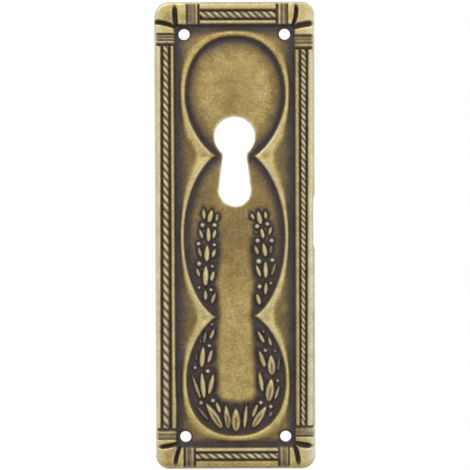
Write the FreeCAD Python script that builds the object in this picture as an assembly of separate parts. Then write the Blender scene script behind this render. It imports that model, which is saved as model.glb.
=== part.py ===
import FreeCAD, Part

import math
import os

# Keyhole escutcheon in embossed sheet brass, all sizes in millimetres.
# It is drawn lying on its back: x across the plate, y up the plate, z out from the wall.
# The last step stands it up, so that its back is the plane Y = 0 and its face looks along -Y.
# The origin is the middle of the plate and of its four screw holes, on the wall.

# Plate
plate_width = 35.9
plate_height = 105.0
corner_radius = 3.15
edge_round = 0.8
sheet_thickness = 0.8

# Trimmed stretch of the right-hand edge
trim_depth = 0.33
trim_top = 7.6
trim_bottom = -1.2
trim_ramp = 2.4

# Heights above the wall
frame_height = 2.4
rope_height = 2.15
groove_height = 1.5
field_height = 1.3
bead_height = 1.95
recess_height = 0.9
dome_height = 1.75
tongue_height = 1.65
leaf_height = 1.75
berry_height = 1.6

# Frame rails and the rope groove between them, side by side
outer_rail_left = 1.42
outer_rail_right = 1.55
outer_rail_top = 1.75
outer_rail_bottom = 1.85
rope_groove_left = 2.17
rope_groove_right = 1.88
rope_groove_top = 2.3
rope_groove_bottom = 2.02
inner_rail_side = 0.8
inner_rail_end = 0.9
wall_slope = 0.2

# Rope strands: the width of the rope and the spacing of its strands
rope_width_left = 1.28
rope_width_right = 1.15
rope_width_end = 1.4
strand_pitch_left = 1.76
strand_pitch_right = 1.35
strand_pitch_top = 1.55
strand_pitch_bottom = 1.7
strand_lean = 0.75
strand_gap = 0.2
strand_crown = 0.55

# Corner bindings, measured from the corner along each side
block_length = 3.85
lens_width = 1.05
lens_depth = 0.9
lens_taper = 0.45
pillow_length = 1.75
rib_pitch = 0.8
rib_groove = 0.55
rib_groove_depth = 0.4
ribs_side = 4
ribs_end = 3

# Screw holes
hole_radius = 1.27
hole_spacing_x = 22.6
hole_spacing_z = 90.7
dimple_radius = 1.75
dimple_depth = 0.35
dimple_sides = 16

# Keyhole
keyhole_centre = 22.3
keyhole_head_radius = 4.6
keyhole_neck = 18.0
keyhole_neck_half_width = 2.7
keyhole_foot = 10.35
keyhole_foot_half_width = 3.65

# Cartouche: the line of the bead's crest, in three lobes
lobe_half_width = 11.65
end_lobe_centre = 32.8
end_lobe_outward = 12.7
end_lobe_inward = 15.6
middle_lobe_reach = 19.66
squareness = 2.4
crest_flat = 0.2
bead_outer_slope = 0.6
bead_inner_slope = 0.65
cusp_height = 18.2
cusp_half_width = 7.6
cusp_shoulder_half_width = 7.0
cusp_tip_half_width = 4.9
cusp_depth = 2.2
cusp_crown = 0.8

# Dome of the top lobe and tongue below it
dome_radius = 10.1
tongue_half_width = 4.3
tongue_bottom = -37.0
tongue_top = 19.5
tongue_drop = 0.35

# Garland: leaves, berries and the fan at its foot
leaf_length = 3.9
leaf_width = 1.15
leaf_lean = 5.0
outer_leaf_share = 0.72
berry_radius = 0.5
berry_sides = 6
berry_crown = 0.5
berry_gap = 0.1

# Each row of the garland: its height on the plate, then how far the outer, middle and inner
# leaves stand from the centre line, for a garland that hangs in two lengths
upper_rows = [
    (4.4, 6.9, 5.3, 3.9),
    (0.2, 7.5, 5.7, 4.5),
    (-4.1, 7.8, 6.1, 4.7),
    (-8.9, 8.2, 6.4, 4.9),
    (-13.3, 8.1, 6.4, 4.8),
]
lower_rows = [
    (-22.8, 8.3, 6.8, 5.1),
    (-27.6, 9.0, 7.3, 5.5),
    (-33.4, 8.9, 7.3, 5.4),
]

# The fan at the garland's foot, one leaf and its mirror image in each row: how far the leaf
# stands from the centre line, its height on the plate, its length, its width and its lean
fan_rows = [
    (0, -41.5, 5.5, 1.7, 0),
    (1.9, -40.8, 5.6, 1.0, 9),
    (4.0, -39.4, 3.8, 0.75, 17),
    (5.1, -40.7, 6.0, 1.3, 30),
    (7.5, -39.9, 3.4, 0.65, 41),
]

# Overshoot that lets a cut pass clean through, and the depth that a raised piece is rooted by
clear = 0.5
root = 0.25


def face_through(points):
    """Flat face on a closed run of points."""
    corners = [FreeCAD.Vector(*point) for point in points]
    return Part.Face(Part.makePolygon(corners + corners[:1]))


def solid_of(faces):
    """Solid bounded by flat faces."""
    solid = Part.Solid(Part.Shell(faces))
    if solid.Volume < 0:
        solid.reverse()
    return solid


def solid_between(lower, upper):
    """Flat-sided solid between two outlines that have the same number of points."""
    faces = [face_through(lower), face_through(upper)]
    for index in range(len(lower)):
        after = (index + 1) % len(lower)
        faces.append(face_through([lower[index], lower[after], upper[after], upper[index]]))
    return solid_of(faces)


def round_outline(x, y, radius, sides):
    """Points of a many-sided outline on a circle."""
    points = []
    for step in range(sides):
        angle = 2 * math.pi * (step + 0.5) / sides
        points.append((x + radius * math.cos(angle), y + radius * math.sin(angle)))
    return points


def hipped(points, low, high, keep):
    """Solid with sloping sides on a closed outline, drawn in to a share of it at the top."""
    middle_x = sum(x for x, y in points) / len(points)
    middle_y = sum(y for x, y in points) / len(points)
    lower = [(x, y, low) for x, y in points]
    upper = []
    for x, y in points:
        upper.append((middle_x + (x - middle_x) * keep, middle_y + (y - middle_y) * keep, high))
    return solid_between(lower, upper)


def box(x0, x1, y0, y1, low, high):
    corner = FreeCAD.Vector(x0, y0, low)
    return Part.makeBox(x1 - x0, y1 - y0, high - low, corner)


def trough(x0, x1, y0, y1, low, high, slope):
    """Cutting tool for a pocket whose walls lean outward by a slope on the way up."""
    lower = [(x0, y0, low), (x1, y0, low), (x1, y1, low), (x0, y1, low)]
    upper = [
        (x0 - slope, y0 - slope, high),
        (x1 + slope, y0 - slope, high),
        (x1 + slope, y1 + slope, high),
        (x0 - slope, y1 + slope, high),
    ]
    return solid_between(lower, upper)


def edge_stops():
    """The plate's straight-sided limits: left, right, bottom and top."""
    return (-plate_width / 2, plate_width / 2, -plate_height / 2, plate_height / 2)


def field_stops():
    """The limits of the sunk field inside the frame: left, right, bottom and top."""
    left, right, bottom, top = edge_stops()
    return (
        left + outer_rail_left + rope_groove_left + inner_rail_side,
        right - outer_rail_right - rope_groove_right - inner_rail_side,
        bottom + outer_rail_bottom + rope_groove_bottom + inner_rail_end,
        top - outer_rail_top - rope_groove_top - inner_rail_end,
    )


def plate_outline():
    """Rounded rectangle with the trimmed stretch in its right side."""
    left, right, bottom, top = edge_stops()
    radius = corner_radius
    edges = []

    def line(x0, y0, x1, y1):
        edges.append(Part.LineSegment(FreeCAD.Vector(x0, y0, 0), FreeCAD.Vector(x1, y1, 0)).toShape())

    def corner(x, y, first):
        circle = Part.Circle(FreeCAD.Vector(x, y, 0), FreeCAD.Vector(0, 0, 1), radius)
        edges.append(Part.ArcOfCircle(circle, math.radians(first), math.radians(first + 90)).toShape())

    line(right, bottom + radius, right, trim_bottom - trim_ramp)
    line(right, trim_bottom - trim_ramp, right - trim_depth, trim_bottom)
    line(right - trim_depth, trim_bottom, right - trim_depth, trim_top)
    line(right - trim_depth, trim_top, right, trim_top + trim_ramp)
    line(right, trim_top + trim_ramp, right, top - radius)
    corner(right - radius, top - radius, 0)
    line(right - radius, top, left + radius, top)
    corner(left + radius, top - radius, 90)
    line(left, top - radius, left, bottom + radius)
    corner(left + radius, bottom + radius, 180)
    line(left + radius, bottom, right - radius, bottom)
    corner(right - radius, bottom + radius, 270)
    return Part.Wire(edges)


def plate_blank():
    """The sheet's outer form at the frame's height, with its front edge rolled over."""
    face = Part.Face(plate_outline())
    blank = face.extrude(FreeCAD.Vector(0, 0, frame_height))
    front_edges = []
    for edge in blank.Edges:
        if all(abs(vertex.Z - frame_height) < 1e-6 for vertex in edge.Vertexes):
            front_edges.append(edge)
    return blank.makeFillet(edge_round, front_edges)


def lobe(centre, half_width, up, down, power_up, power_down, level):
    """Closed curve of one lobe, by the formula of a rounded oval with its own reach up and down."""
    points = []
    steps = 28
    for step in range(steps):
        angle = 2 * math.pi * step / steps
        power = power_up if math.sin(angle) >= 0 else power_down
        reach = up if math.sin(angle) >= 0 else down
        across = math.copysign(abs(math.cos(angle)) ** (2 / power), math.cos(angle))
        along = math.copysign(abs(math.sin(angle)) ** (2 / power), math.sin(angle))
        points.append(FreeCAD.Vector(half_width * across, centre + reach * along, level))
    curve = Part.BSplineCurve()
    curve.interpolate(points, PeriodicFlag=True)
    return Part.Wire([curve.toShape()])


def three_lobes(low, high, grow_low, grow_high):
    """Solid over the cartouche's three lobes, grown or shrunk from the crest line at each level."""
    solids = []
    for centre, up, down, power_up, power_down in (
        (end_lobe_centre, end_lobe_outward, end_lobe_inward, squareness, 2),
        (0, middle_lobe_reach, middle_lobe_reach, 2, 2),
        (-end_lobe_centre, end_lobe_inward, end_lobe_outward, 2, squareness),
    ):
        wires = []
        for level, grow in ((low, grow_low), (high, grow_high)):
            wires.append(
                lobe(centre, lobe_half_width + grow, up + grow, down + grow, power_up, power_down, level)
            )
        solids.append(Part.makeLoft(wires, True, False))
    return solids[0].multiFuse(solids[1:])


def cusp_lands():
    """The flat pieces where two lobes of the bead meet, reaching out towards the frame."""
    lands = []
    for level in (cusp_height, -cusp_height):
        for side in (-1, 1):
            outline = [
                (side * cusp_tip_half_width, level),
                (side * cusp_shoulder_half_width, level + cusp_depth / 2),
                (side * cusp_half_width, level + cusp_depth / 2),
                (side * cusp_half_width, level - cusp_depth / 2),
                (side * cusp_shoulder_half_width, level - cusp_depth / 2),
            ]
            lands.append(hipped(outline, field_height - root, bead_height - crest_flat, cusp_crown))
    return lands


def bead_form():
    """The cartouche up to the crest of its bead."""
    return three_lobes(field_height - root, bead_height, bead_outer_slope + root, crest_flat)


def recess_tool():
    """Cutting tool for the sunk floor inside the bead."""
    lobes = three_lobes(recess_height, bead_height + clear, -bead_inner_slope, crest_flat)
    waist_y = cusp_height + cusp_depth
    waist = trough(
        -cusp_tip_half_width, cusp_tip_half_width, -waist_y, waist_y,
        recess_height, bead_height + clear, wall_slope,
    )
    return lobes.fuse(waist)


def rails_and_grooves():
    """Cutting tools that leave two rails on each side of the frame with a rope groove between."""
    left, right, bottom, top = edge_stops()
    binding_side = block_length + lens_width + pillow_length + rib_pitch * ribs_side
    binding_end = block_length + lens_width + pillow_length + rib_pitch * ribs_end
    high = frame_height + clear
    tools = []
    for x0, width in (
        (left + outer_rail_left, rope_groove_left),
        (right - outer_rail_right - rope_groove_right, rope_groove_right),
    ):
        tools.append(
            trough(
                x0 + wall_slope, x0 + width - wall_slope, bottom + binding_side, top - binding_side,
                groove_height, high, wall_slope * 2,
            )
        )
    for y0, width in (
        (top - outer_rail_top - rope_groove_top, rope_groove_top),
        (bottom + outer_rail_bottom, rope_groove_bottom),
    ):
        tools.append(
            trough(
                left + binding_end, right - binding_end, y0 + wall_slope, y0 + width - wall_slope,
                groove_height, high, wall_slope * 2,
            )
        )
    return tools


def groove(x0, y0, x1, y1, half, depth, taper):
    """Cutting tool for a V-shaped groove across the frame, its inner end a share of the outer."""
    run = math.hypot(x1 - x0, y1 - y0)
    side_x = -(y1 - y0) / run
    side_y = (x1 - x0) / run
    lift = clear * half / depth
    ends = []
    for x, y, share in ((x0, y0, 1), (x1, y1, taper)):
        reach = half * share + lift
        ends.append(
            [
                (x, y, frame_height - depth * share),
                (x + side_x * reach, y + side_y * reach, frame_height + clear),
                (x - side_x * reach, y - side_y * reach, frame_height + clear),
            ]
        )
    return solid_between(ends[0], ends[1])


def binding_grooves():
    """The grooves that cut each corner of the frame into block, pillow and ribs."""
    left, right, bottom, top = edge_stops()
    field_left, field_right, field_bottom, field_top = field_stops()
    lens = block_length + lens_width / 2
    first_rib = block_length + lens_width + pillow_length
    tools = []
    for edge_y, inward in ((top, -1), (bottom, 1)):
        for edge_x, field_x in ((left, field_left), (right, field_right)):
            y = edge_y + inward * lens
            tools.append(groove(edge_x, y, field_x, y, lens_width / 2, lens_depth, lens_taper))
            for rib in range(ribs_side):
                y = edge_y + inward * (first_rib + rib * rib_pitch)
                tools.append(groove(edge_x, y, field_x, y, rib_groove / 2, rib_groove_depth, 1))
    for edge_x, inward in ((left, 1), (right, -1)):
        for edge_y, field_y in ((top, field_top), (bottom, field_bottom)):
            x = edge_x + inward * lens
            tools.append(groove(x, edge_y, x, field_y, lens_width / 2, lens_depth, lens_taper))
            for rib in range(ribs_end):
                x = edge_x + inward * (first_rib + rib * rib_pitch)
                tools.append(groove(x, edge_y, x, field_y, rib_groove / 2, rib_groove_depth, 1))
    return tools


def rope_strands(centre, first, last, width, pitch, upright):
    """One rope: slanting strands in a row along x, or along y where the rope is upright."""
    strands = []
    count = int((last - first) / pitch)
    start = (first + last) / 2 - pitch * (count - 1) / 2
    thick = (pitch - strand_gap) / 2
    for index in range(count):
        middle = start + pitch * index
        outline = [
            (-width / 2, strand_lean + thick / 2),
            (-width / 2, strand_lean - thick),
            (width / 2, -strand_lean - thick / 2),
            (width / 2, -strand_lean + thick),
        ]
        points = []
        for across, along in outline:
            if upright:
                points.append((centre + across, middle + along))
            else:
                points.append((middle - along, centre - across))
        strands.append(hipped(points, groove_height - root, rope_height, strand_crown))
    return strands


def ropes():
    """The four ropes of the frame."""
    left, right, bottom, top = edge_stops()
    side_run = block_length + lens_width + pillow_length + rib_pitch * ribs_side + strand_lean
    end_run = block_length + lens_width + pillow_length + rib_pitch * ribs_end + strand_lean
    strands = rope_strands(
        left + outer_rail_left + rope_groove_left / 2, bottom + side_run, top - side_run,
        rope_width_left, strand_pitch_left, True,
    )
    strands += rope_strands(
        right - outer_rail_right - rope_groove_right / 2, bottom + side_run, top - side_run,
        rope_width_right, strand_pitch_right, True,
    )
    strands += rope_strands(
        top - outer_rail_top - rope_groove_top / 2, left + end_run, right - end_run,
        rope_width_end, strand_pitch_top, False,
    )
    strands += rope_strands(
        bottom + outer_rail_bottom + rope_groove_bottom / 2, left + end_run, right - end_run,
        rope_width_end, strand_pitch_bottom, False,
    )
    return strands


def leaf(x, y, length, width, lean):
    """One laurel leaf: two halves that rise from its edges to a midrib."""
    turn = math.radians(lean)
    low = recess_height - root
    places = {
        "tip": (0, 0.5, low),
        "left_upper": (-0.5, 0.05, low),
        "left_lower": (-0.45, -0.3, low),
        "foot": (0, -0.5, low),
        "right_lower": (0.45, -0.3, low),
        "right_upper": (0.5, 0.05, low),
        "rib_upper": (0, 0.2, leaf_height),
        "rib_lower": (0, -0.3, leaf_height),
    }
    at = {}
    for name, (across, along, level) in places.items():
        across = across * width
        along = along * length
        at[name] = (
            x + across * math.cos(turn) - along * math.sin(turn),
            y + across * math.sin(turn) + along * math.cos(turn),
            level,
        )
    faces = [["tip", "left_upper", "left_lower", "foot", "right_lower", "right_upper"]]
    for side in ("left", "right"):
        faces.append(["tip", side + "_upper", "rib_upper"])
        faces.append([side + "_upper", "rib_lower", "rib_upper"])
        faces.append([side + "_upper", side + "_lower", "rib_lower"])
        faces.append([side + "_lower", "foot", "rib_lower"])
    return solid_of([face_through([at[name] for name in face]) for face in faces])


def berry(x, y):
    """One berry: a low boss with flat sides."""
    points = round_outline(x, y, berry_radius, berry_sides)
    return hipped(points, recess_height - root, berry_height, berry_crown)


def garland():
    """The two hanging lengths of laurel on each side, with berries between their rows."""
    pieces = []
    for side in (-1, 1):
        for rows in (upper_rows, lower_rows):
            for height, outer, middle, inner in rows:
                short = leaf_length * outer_leaf_share
                narrow = leaf_width * outer_leaf_share
                pieces.append(leaf(side * outer, height, short, narrow, side * leaf_lean))
                pieces.append(leaf(side * middle, height, leaf_length, leaf_width, 0))
                pieces.append(leaf(side * inner, height, short, narrow, -side * leaf_lean))
                foot = height - leaf_length / 2 - berry_gap
                pieces.append(berry(side * (outer + middle + berry_radius) / 2, foot))
                pieces.append(berry(side * (inner + middle - berry_radius) / 2, foot))
    return pieces


def fan():
    """The leaves that spread at the garland's foot."""
    pieces = []
    for x, height, length, width, lean in fan_rows:
        for side in (-1, 1) if x else (1,):
            pieces.append(leaf(side * x, height, length, width, -side * lean))
    return pieces


def cap(centre_y, radius, low, high, floor):
    """Low round dome: the part of a ball that stands above a floor."""
    rise = high - low
    ball_radius = (radius * radius + rise * rise) / (2 * rise)
    centre = FreeCAD.Vector(0, centre_y, high - ball_radius)
    ball = Part.makeSphere(ball_radius, centre, FreeCAD.Vector(1, 0, 0))
    keep = box(-radius - clear, radius + clear, centre_y - radius - clear, centre_y + radius + clear, low, high)
    foot = Part.makeCylinder(radius, low - floor, FreeCAD.Vector(0, centre_y, floor))
    return ball.common(keep).fuse(foot)


def crowned_bar(half_width, y0, y1, floor, high, drop):
    """Bar along the plate whose top is a low arch across it."""
    left = FreeCAD.Vector(-half_width, y0, high - drop)
    middle = FreeCAD.Vector(0, y0, high)
    right = FreeCAD.Vector(half_width, y0, high - drop)
    low_left = FreeCAD.Vector(-half_width, y0, floor)
    low_right = FreeCAD.Vector(half_width, y0, floor)
    edges = [
        Part.Arc(left, middle, right).toShape(),
        Part.LineSegment(right, low_right).toShape(),
        Part.LineSegment(low_right, low_left).toShape(),
        Part.LineSegment(low_left, left).toShape(),
    ]
    face = Part.Face(Part.Wire(edges))
    return face.extrude(FreeCAD.Vector(0, y1 - y0, 0))


def raised_middle():
    """The dome of the top lobe and the tongue that runs down from the keyhole."""
    floor = recess_height - root
    dome = cap(end_lobe_centre, dome_radius, recess_height, dome_height, floor)
    tongue = crowned_bar(tongue_half_width, tongue_bottom, tongue_top, floor, tongue_height, tongue_drop)
    return [dome, tongue]


def back_hollow():
    """Cutting tools for the hollow back: the relief seen from behind, one sheet thickness down."""
    left, right, bottom, top = edge_stops()
    field_left, field_right, field_bottom, field_top = field_stops()
    margin = sheet_thickness
    low = -clear
    tray = box(
        left + margin + edge_round / 2, right - margin - edge_round / 2 - trim_depth,
        bottom + margin + edge_round / 2, top - margin - edge_round / 2,
        low, groove_height - sheet_thickness,
    )
    land = box(
        field_left - margin, field_right + margin, field_bottom - margin, field_top + margin,
        field_height - sheet_thickness, groove_height,
    )
    inside = three_lobes(low, groove_height, -bead_inner_slope - margin, -bead_inner_slope - margin)
    floor = recess_height - sheet_thickness
    inner_land = inside.common(
        box(-plate_width, plate_width, -plate_height, plate_height, floor, groove_height)
    )
    dome = cap(
        end_lobe_centre, dome_radius - margin, floor, dome_height - sheet_thickness, floor - root,
    )
    tongue = crowned_bar(
        tongue_half_width - margin, tongue_bottom + margin, tongue_top, low,
        tongue_height - sheet_thickness, tongue_drop,
    )
    return tray.cut([land, inner_land]).multiFuse([dome, tongue])


def keyhole():
    """Cutting tool for the keyhole: a round head over a slot that widens to a rounded foot."""
    high = frame_height + clear
    head = Part.makeCylinder(
        keyhole_head_radius, high + clear, FreeCAD.Vector(0, keyhole_centre, -clear)
    )
    neck_left = FreeCAD.Vector(-keyhole_neck_half_width, keyhole_neck, -clear)
    neck_right = FreeCAD.Vector(keyhole_neck_half_width, keyhole_neck, -clear)
    foot_left = FreeCAD.Vector(-keyhole_foot_half_width, keyhole_foot, -clear)
    foot_right = FreeCAD.Vector(keyhole_foot_half_width, keyhole_foot, -clear)
    foot_tip = FreeCAD.Vector(0, keyhole_foot - keyhole_foot_half_width, -clear)
    top_left = FreeCAD.Vector(-keyhole_neck_half_width, keyhole_centre, -clear)
    top_right = FreeCAD.Vector(keyhole_neck_half_width, keyhole_centre, -clear)
    edges = [
        Part.LineSegment(top_right, top_left).toShape(),
        Part.LineSegment(top_left, neck_left).toShape(),
        Part.LineSegment(neck_left, foot_left).toShape(),
        Part.Arc(foot_left, foot_tip, foot_right).toShape(),
        Part.LineSegment(foot_right, neck_right).toShape(),
        Part.LineSegment(neck_right, top_right).toShape(),
    ]
    slot = Part.Face(Part.Wire(edges)).extrude(FreeCAD.Vector(0, 0, high + clear))
    return head.fuse(slot)


def screw_holes():
    """Cutting tools for the four screw holes and the dimple round each."""
    tools = []
    for x in (-hole_spacing_x / 2, hole_spacing_x / 2):
        for y in (-hole_spacing_z / 2, hole_spacing_z / 2):
            tools.append(
                Part.makeCylinder(hole_radius, frame_height + 2 * clear, FreeCAD.Vector(x, y, -clear))
            )
            floor = field_height - dimple_depth
            flare = dimple_radius / hole_radius
            top = field_height + dimple_depth
            mouth = round_outline(x, y, hole_radius, dimple_sides)
            tools.append(hipped(mouth, floor, top, flare * 2 - 1))
    return tools


def escutcheon_plate():
    """The whole plate, one piece of sheet brass."""
    left, right, bottom, top = field_stops()
    field = trough(
        left + wall_slope, right - wall_slope, bottom + wall_slope, top - wall_slope,
        field_height, frame_height + clear, wall_slope * 2,
    )
    body = plate_blank().cut([field] + rails_and_grooves() + binding_grooves())
    body = body.multiFuse([bead_form()] + cusp_lands())
    body = body.cut(recess_tool())
    body = body.multiFuse(raised_middle())
    body = body.multiFuse(ropes() + garland() + fan())
    body = body.cut([back_hollow(), keyhole()] + screw_holes())
    return body.removeSplitter()


def stand_up(shape):
    """Turn the plate from lying on its back to standing with its face along -Y."""
    return shape.rotated(FreeCAD.Vector(0, 0, 0), FreeCAD.Vector(1, 0, 0), 90)


os.makedirs("parts", exist_ok=True)
plate = stand_up(escutcheon_plate())
solids = plate.Solids
print("solids", len(solids), "valid", plate.isValid(), "volume", round(plate.Volume, 1))
(solids[0] if len(solids) == 1 else plate).exportStep("parts/escutcheon_plate.step")
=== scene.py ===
import math
from collections import namedtuple

import bpy
import numpy as np
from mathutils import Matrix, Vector, geometry


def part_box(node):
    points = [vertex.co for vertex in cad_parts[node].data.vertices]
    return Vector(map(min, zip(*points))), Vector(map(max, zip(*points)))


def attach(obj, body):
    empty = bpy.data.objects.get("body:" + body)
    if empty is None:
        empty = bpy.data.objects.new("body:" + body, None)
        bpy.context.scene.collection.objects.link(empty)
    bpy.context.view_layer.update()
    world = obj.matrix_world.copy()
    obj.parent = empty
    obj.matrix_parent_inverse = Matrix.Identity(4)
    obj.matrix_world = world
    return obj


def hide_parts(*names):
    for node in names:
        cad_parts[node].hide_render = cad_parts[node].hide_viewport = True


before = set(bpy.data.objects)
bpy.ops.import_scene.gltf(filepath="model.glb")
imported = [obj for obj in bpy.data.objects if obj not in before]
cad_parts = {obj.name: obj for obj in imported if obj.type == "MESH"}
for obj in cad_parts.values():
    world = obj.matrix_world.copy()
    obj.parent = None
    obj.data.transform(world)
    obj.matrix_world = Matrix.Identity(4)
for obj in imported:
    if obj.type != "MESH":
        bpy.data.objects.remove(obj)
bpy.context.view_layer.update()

# Embossed brass keyhole plate. Sizes are in millimetres until the mesh is made.
# x runs across the plate, z up it, and a height is how far the face stands out from the wall.
MM = 0.001
plate_low, plate_high = [np.array(corner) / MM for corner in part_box("escutcheon_plate")]
LEFT, RIGHT = plate_low[0], plate_high[0]
BOTTOM, TOP = plate_low[2], plate_high[2]
FULL_HEIGHT = -plate_low[1]

# Plate
SHEET = 0.8
EDGE_ROUND = 0.8
CORNER_RADII = {"top left": 3.4, "top right": 2.95, "bottom left": 3.05, "bottom right": 3.15}
TRIM_DEPTH = 0.33
TRIM_TOP = 7.6
TRIM_BOTTOM = -1.2
TRIM_RAMP = 2.4

# Heights above the wall
FRAME_TOP = FULL_HEIGHT - 0.05
RAIL_TOP = FRAME_TOP - 0.05
ROPE_TOP = 2.28
GROOVE_FLOOR = 1.45
FIELD_NEAR_FRAME = 1.15
FIELD_NEAR_BEAD = 1.4
BEAD_TOP = 1.98
RING_FLOOR = 0.85
RECESS_FLOOR = 0.95
DOME_TOP = 1.8
DOME_START = 0.9
DOME_REACH = 7.5
TONGUE_TOP = 1.62
TONGUE_CORNER = 2.6
TONGUE_END = 37.7
GROUND_RISE = 0.55
BED_REACH = 1.6
LEAF_RISE = 0.85
BERRY_RISE = 0.72
HOLLOW_LIMIT = 1.5
HOLLOW_SOFTNESS = 0.7

# Keyhole and pin holes
KEYHOLE_CENTRE = 22.3
KEYHOLE_RADIUS = 4.6
NECK_Z = 18.0
NECK_HALF = 2.7
FOOT_Z = 10.35
FOOT_HALF = 3.65
HOLE_RADIUS = 1.27
HOLE_X = 11.3
HOLE_Z = 45.35
HOLES = [(x, z) for x in (-HOLE_X, HOLE_X) for z in (-HOLE_Z, HOLE_Z)]

# Cartouche, along the inner edge of its bead: for each lobe its middle across and up, its half
# width, its reach up and down, and how square its upper and lower halves are (2 is an ellipse)
LOBES = (
    (0.13, 31.45, 11.24, 13.45, 15.1, 2.24, 1.78),
    (-0.13, 0.0, 11.37, 19.6, 19.6, 1.96, 2.06),
    (0.18, -32.26, 11.16, 15.64, 12.75, 1.88, 2.29),
)
EDGE_TO_CREST = 0.52
LOBE_BLEND = 1.3
ROOM_BLEND = 1.1
FAR = 99.0

# Where the bead's outer slope is half way down, and half the width that it falls over, at
# distances in from the frame
SLOPE_MIDDLE = ((1.0, 0.02), (1.4, 0.25), (1.85, 0.48), (2.45, 0.72), (3.2, 0.88), (4.3, 1.0), (5.5, 1.45))
SLOPE_HALF = ((1.0, 0.3), (1.55, 0.5), (2.45, 0.85), (4.3, 0.9), (5.5, 0.55))

# How much wider the bead's outer slope is, at places up the plate
BEAD_WIDER = (
    (-46, 0.5), (-43, 0.42), (-38, 0.4), (-33, 0.14), (-28, 0.1), (-23, 0.2),
    (-18, 0.1), (-12, 0.2), (-5, 0.02), (5, 0.02), (12, 0.22), (18, 0.25),
    (22, 0.72), (26, 0.38), (31, 0.2), (37, 0.4), (42, 0.38), (46, 0.55),
)
CUSP_X = 6.9
CUSP_Z = 18.0
STRIP_HALF = 4.3
STRIP_END = 27.0

# Half the tongue's width, at places down the plate
TONGUE_HALVES = (
    (-1, 3.25), (3, 3.5), (7.5, 3.9), (10.5, 4.65), (13.5, 4.05), (17, 3.9), (23, 4.2), (29, 4.45),
)
TONGUE_LEAN = 0.3

# Each side of the frame: widths of its outer rail, rope groove, inner rail and rope
Side = namedtuple("Side", "outer groove inner rope")
SIDES = {
    "left": Side(outer=1.42, groove=2.17, inner=0.72, rope=1.3),
    "right": Side(outer=1.55, groove=1.88, inner=0.95, rope=1.2),
    "top": Side(outer=1.75, groove=2.3, inner=0.92, rope=1.6),
    "bottom": Side(outer=1.85, groove=2.02, inner=0.95, rope=1.35),
}

# The corners where each side starts and ends
CORNERS = {
    "left": ("top left", "bottom left"),
    "right": ("top right", "bottom right"),
    "top": ("top left", "top right"),
    "bottom": ("bottom left", "bottom right"),
}

# How far the grooves and ropes of the two long sides stray outward for each millimetre down,
# or inward where it is less than nothing
STRAY = {"left": 0.0042, "right": -0.005, "top": 0.0, "bottom": 0.0}
STRAY_START = 27.0
FALL = 0.4

# How much wider the left-hand inner rail is, at places down the plate, and the distances in
# from the plate's edge between which it widens
LEFT_RAIL_WIDER = ((-45, 0.05), (0, 0.08), (30, 0.12), (38, 0.3), (42, 0.3), (45, 0.12))
WIDENS_FROM = 3.7
WIDENS_TO = 4.3

# Each rope: its first strand's distance from the plate's top or left edge, the spacing there,
# how much that spacing grows from strand to strand, and how many strands there are
ROPES = {
    "left": (9.08, 1.558, 0.0053, 49),
    "right": (10.79, 1.398, 0.0001, 62),
    "top": (10.92, 1.618, -0.0047, 11),
    "bottom": (9.07, 1.852, -0.0116, 12),
}

# The right-hand rope is twisted unevenly, in slow waves: their height in strands, length and start
UNEVEN = {"left": 0.0, "right": 0.3, "top": 0.0, "bottom": 0.0}
WAVE_LENGTH = 33.0
WAVE_START = 24.5
STRAND_SLANT = 0.95

# Bindings at the corners, one for each arm of the frame at each corner, measured from the
# corner along that arm: where the lens groove lies at the plate's edge and at the field, how
# far it bows toward the corner between them, where it starts as a share of the frame's width,
# its own width, and the ribs, as places with the share of the frame's relief that stands
# there. The last of these is the groove that the rails start from.
BINDINGS = {
    ("top", "top left"): (
        4.58, 4.8, 0.0, 0.02, 0.95,
        ((7.3, 0.36), (7.85, 0.66), (8.25, 0.58), (8.65, 0.7), (9.05, 0.56), (9.5, 0.95), (9.95, 0.24)),
    ),
    ("left", "top left"): (
        4.5, 5.45, 0.0, -0.25, 0.86,
        ((7.2, 0.32), (7.6, 0.78), (7.9, 0.5), (8.25, 0.87), (8.55, 0.46), (8.95, 0.97), (9.6, 0.2)),
    ),
    ("top", "top right"): (
        4.3, 4.7, 0.32, -0.02, 0.75,
        ((6.05, 0.33), (6.5, 0.55), (6.95, 0.78), (7.3, 0.46), (7.8, 0.98), (8.42, 0.2)),
    ),
    ("right", "top right"): (
        4.92, 5.6, 0.0, -0.08, 1.1,
        ((7.6, 0.32), (8.25, 0.7), (8.55, 0.5), (8.95, 0.72), (9.25, 0.44), (9.8, 0.92), (10.48, 0.2)),
    ),
    ("bottom", "bottom left"): (
        4.3, 5.28, 0.0, 0.02, 0.8,
        ((6.4, 0.22), (6.85, 0.8), (7.3, 0.46), (7.8, 0.64), (8.25, 0.88), (8.75, 0.27)),
    ),
    ("left", "bottom left"): (
        5.03, 5.62, 0.0, 0.02, 0.85, ((6.8, 0.5), (7.35, 0.75), (7.65, 0.57), (8.3, 0.87), (8.95, 0.14)),
    ),
    ("bottom", "bottom right"): (
        3.76, 4.5, 0.0, 0.05, 0.92,
        ((5.97, 0.38), (6.32, 0.78), (6.75, 0.58), (7.2, 0.54), (7.62, 0.82), (8.2, 0.31)),
    ),
    ("right", "bottom right"): (
        5.2, 5.7, 0.0, 0.02, 1.05,
        ((7.4, 0.42), (7.75, 0.74), (8.05, 0.6), (8.55, 0.72), (9.0, 0.64), (9.5, 0.2)),
    ),
}
LENS_BEND = 2.0
LENS_DEPTH = 0.95
RAILS_AFTER = 0.24
JOIN_BEFORE = 0.12
JOIN_AFTER = 0.08

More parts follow.
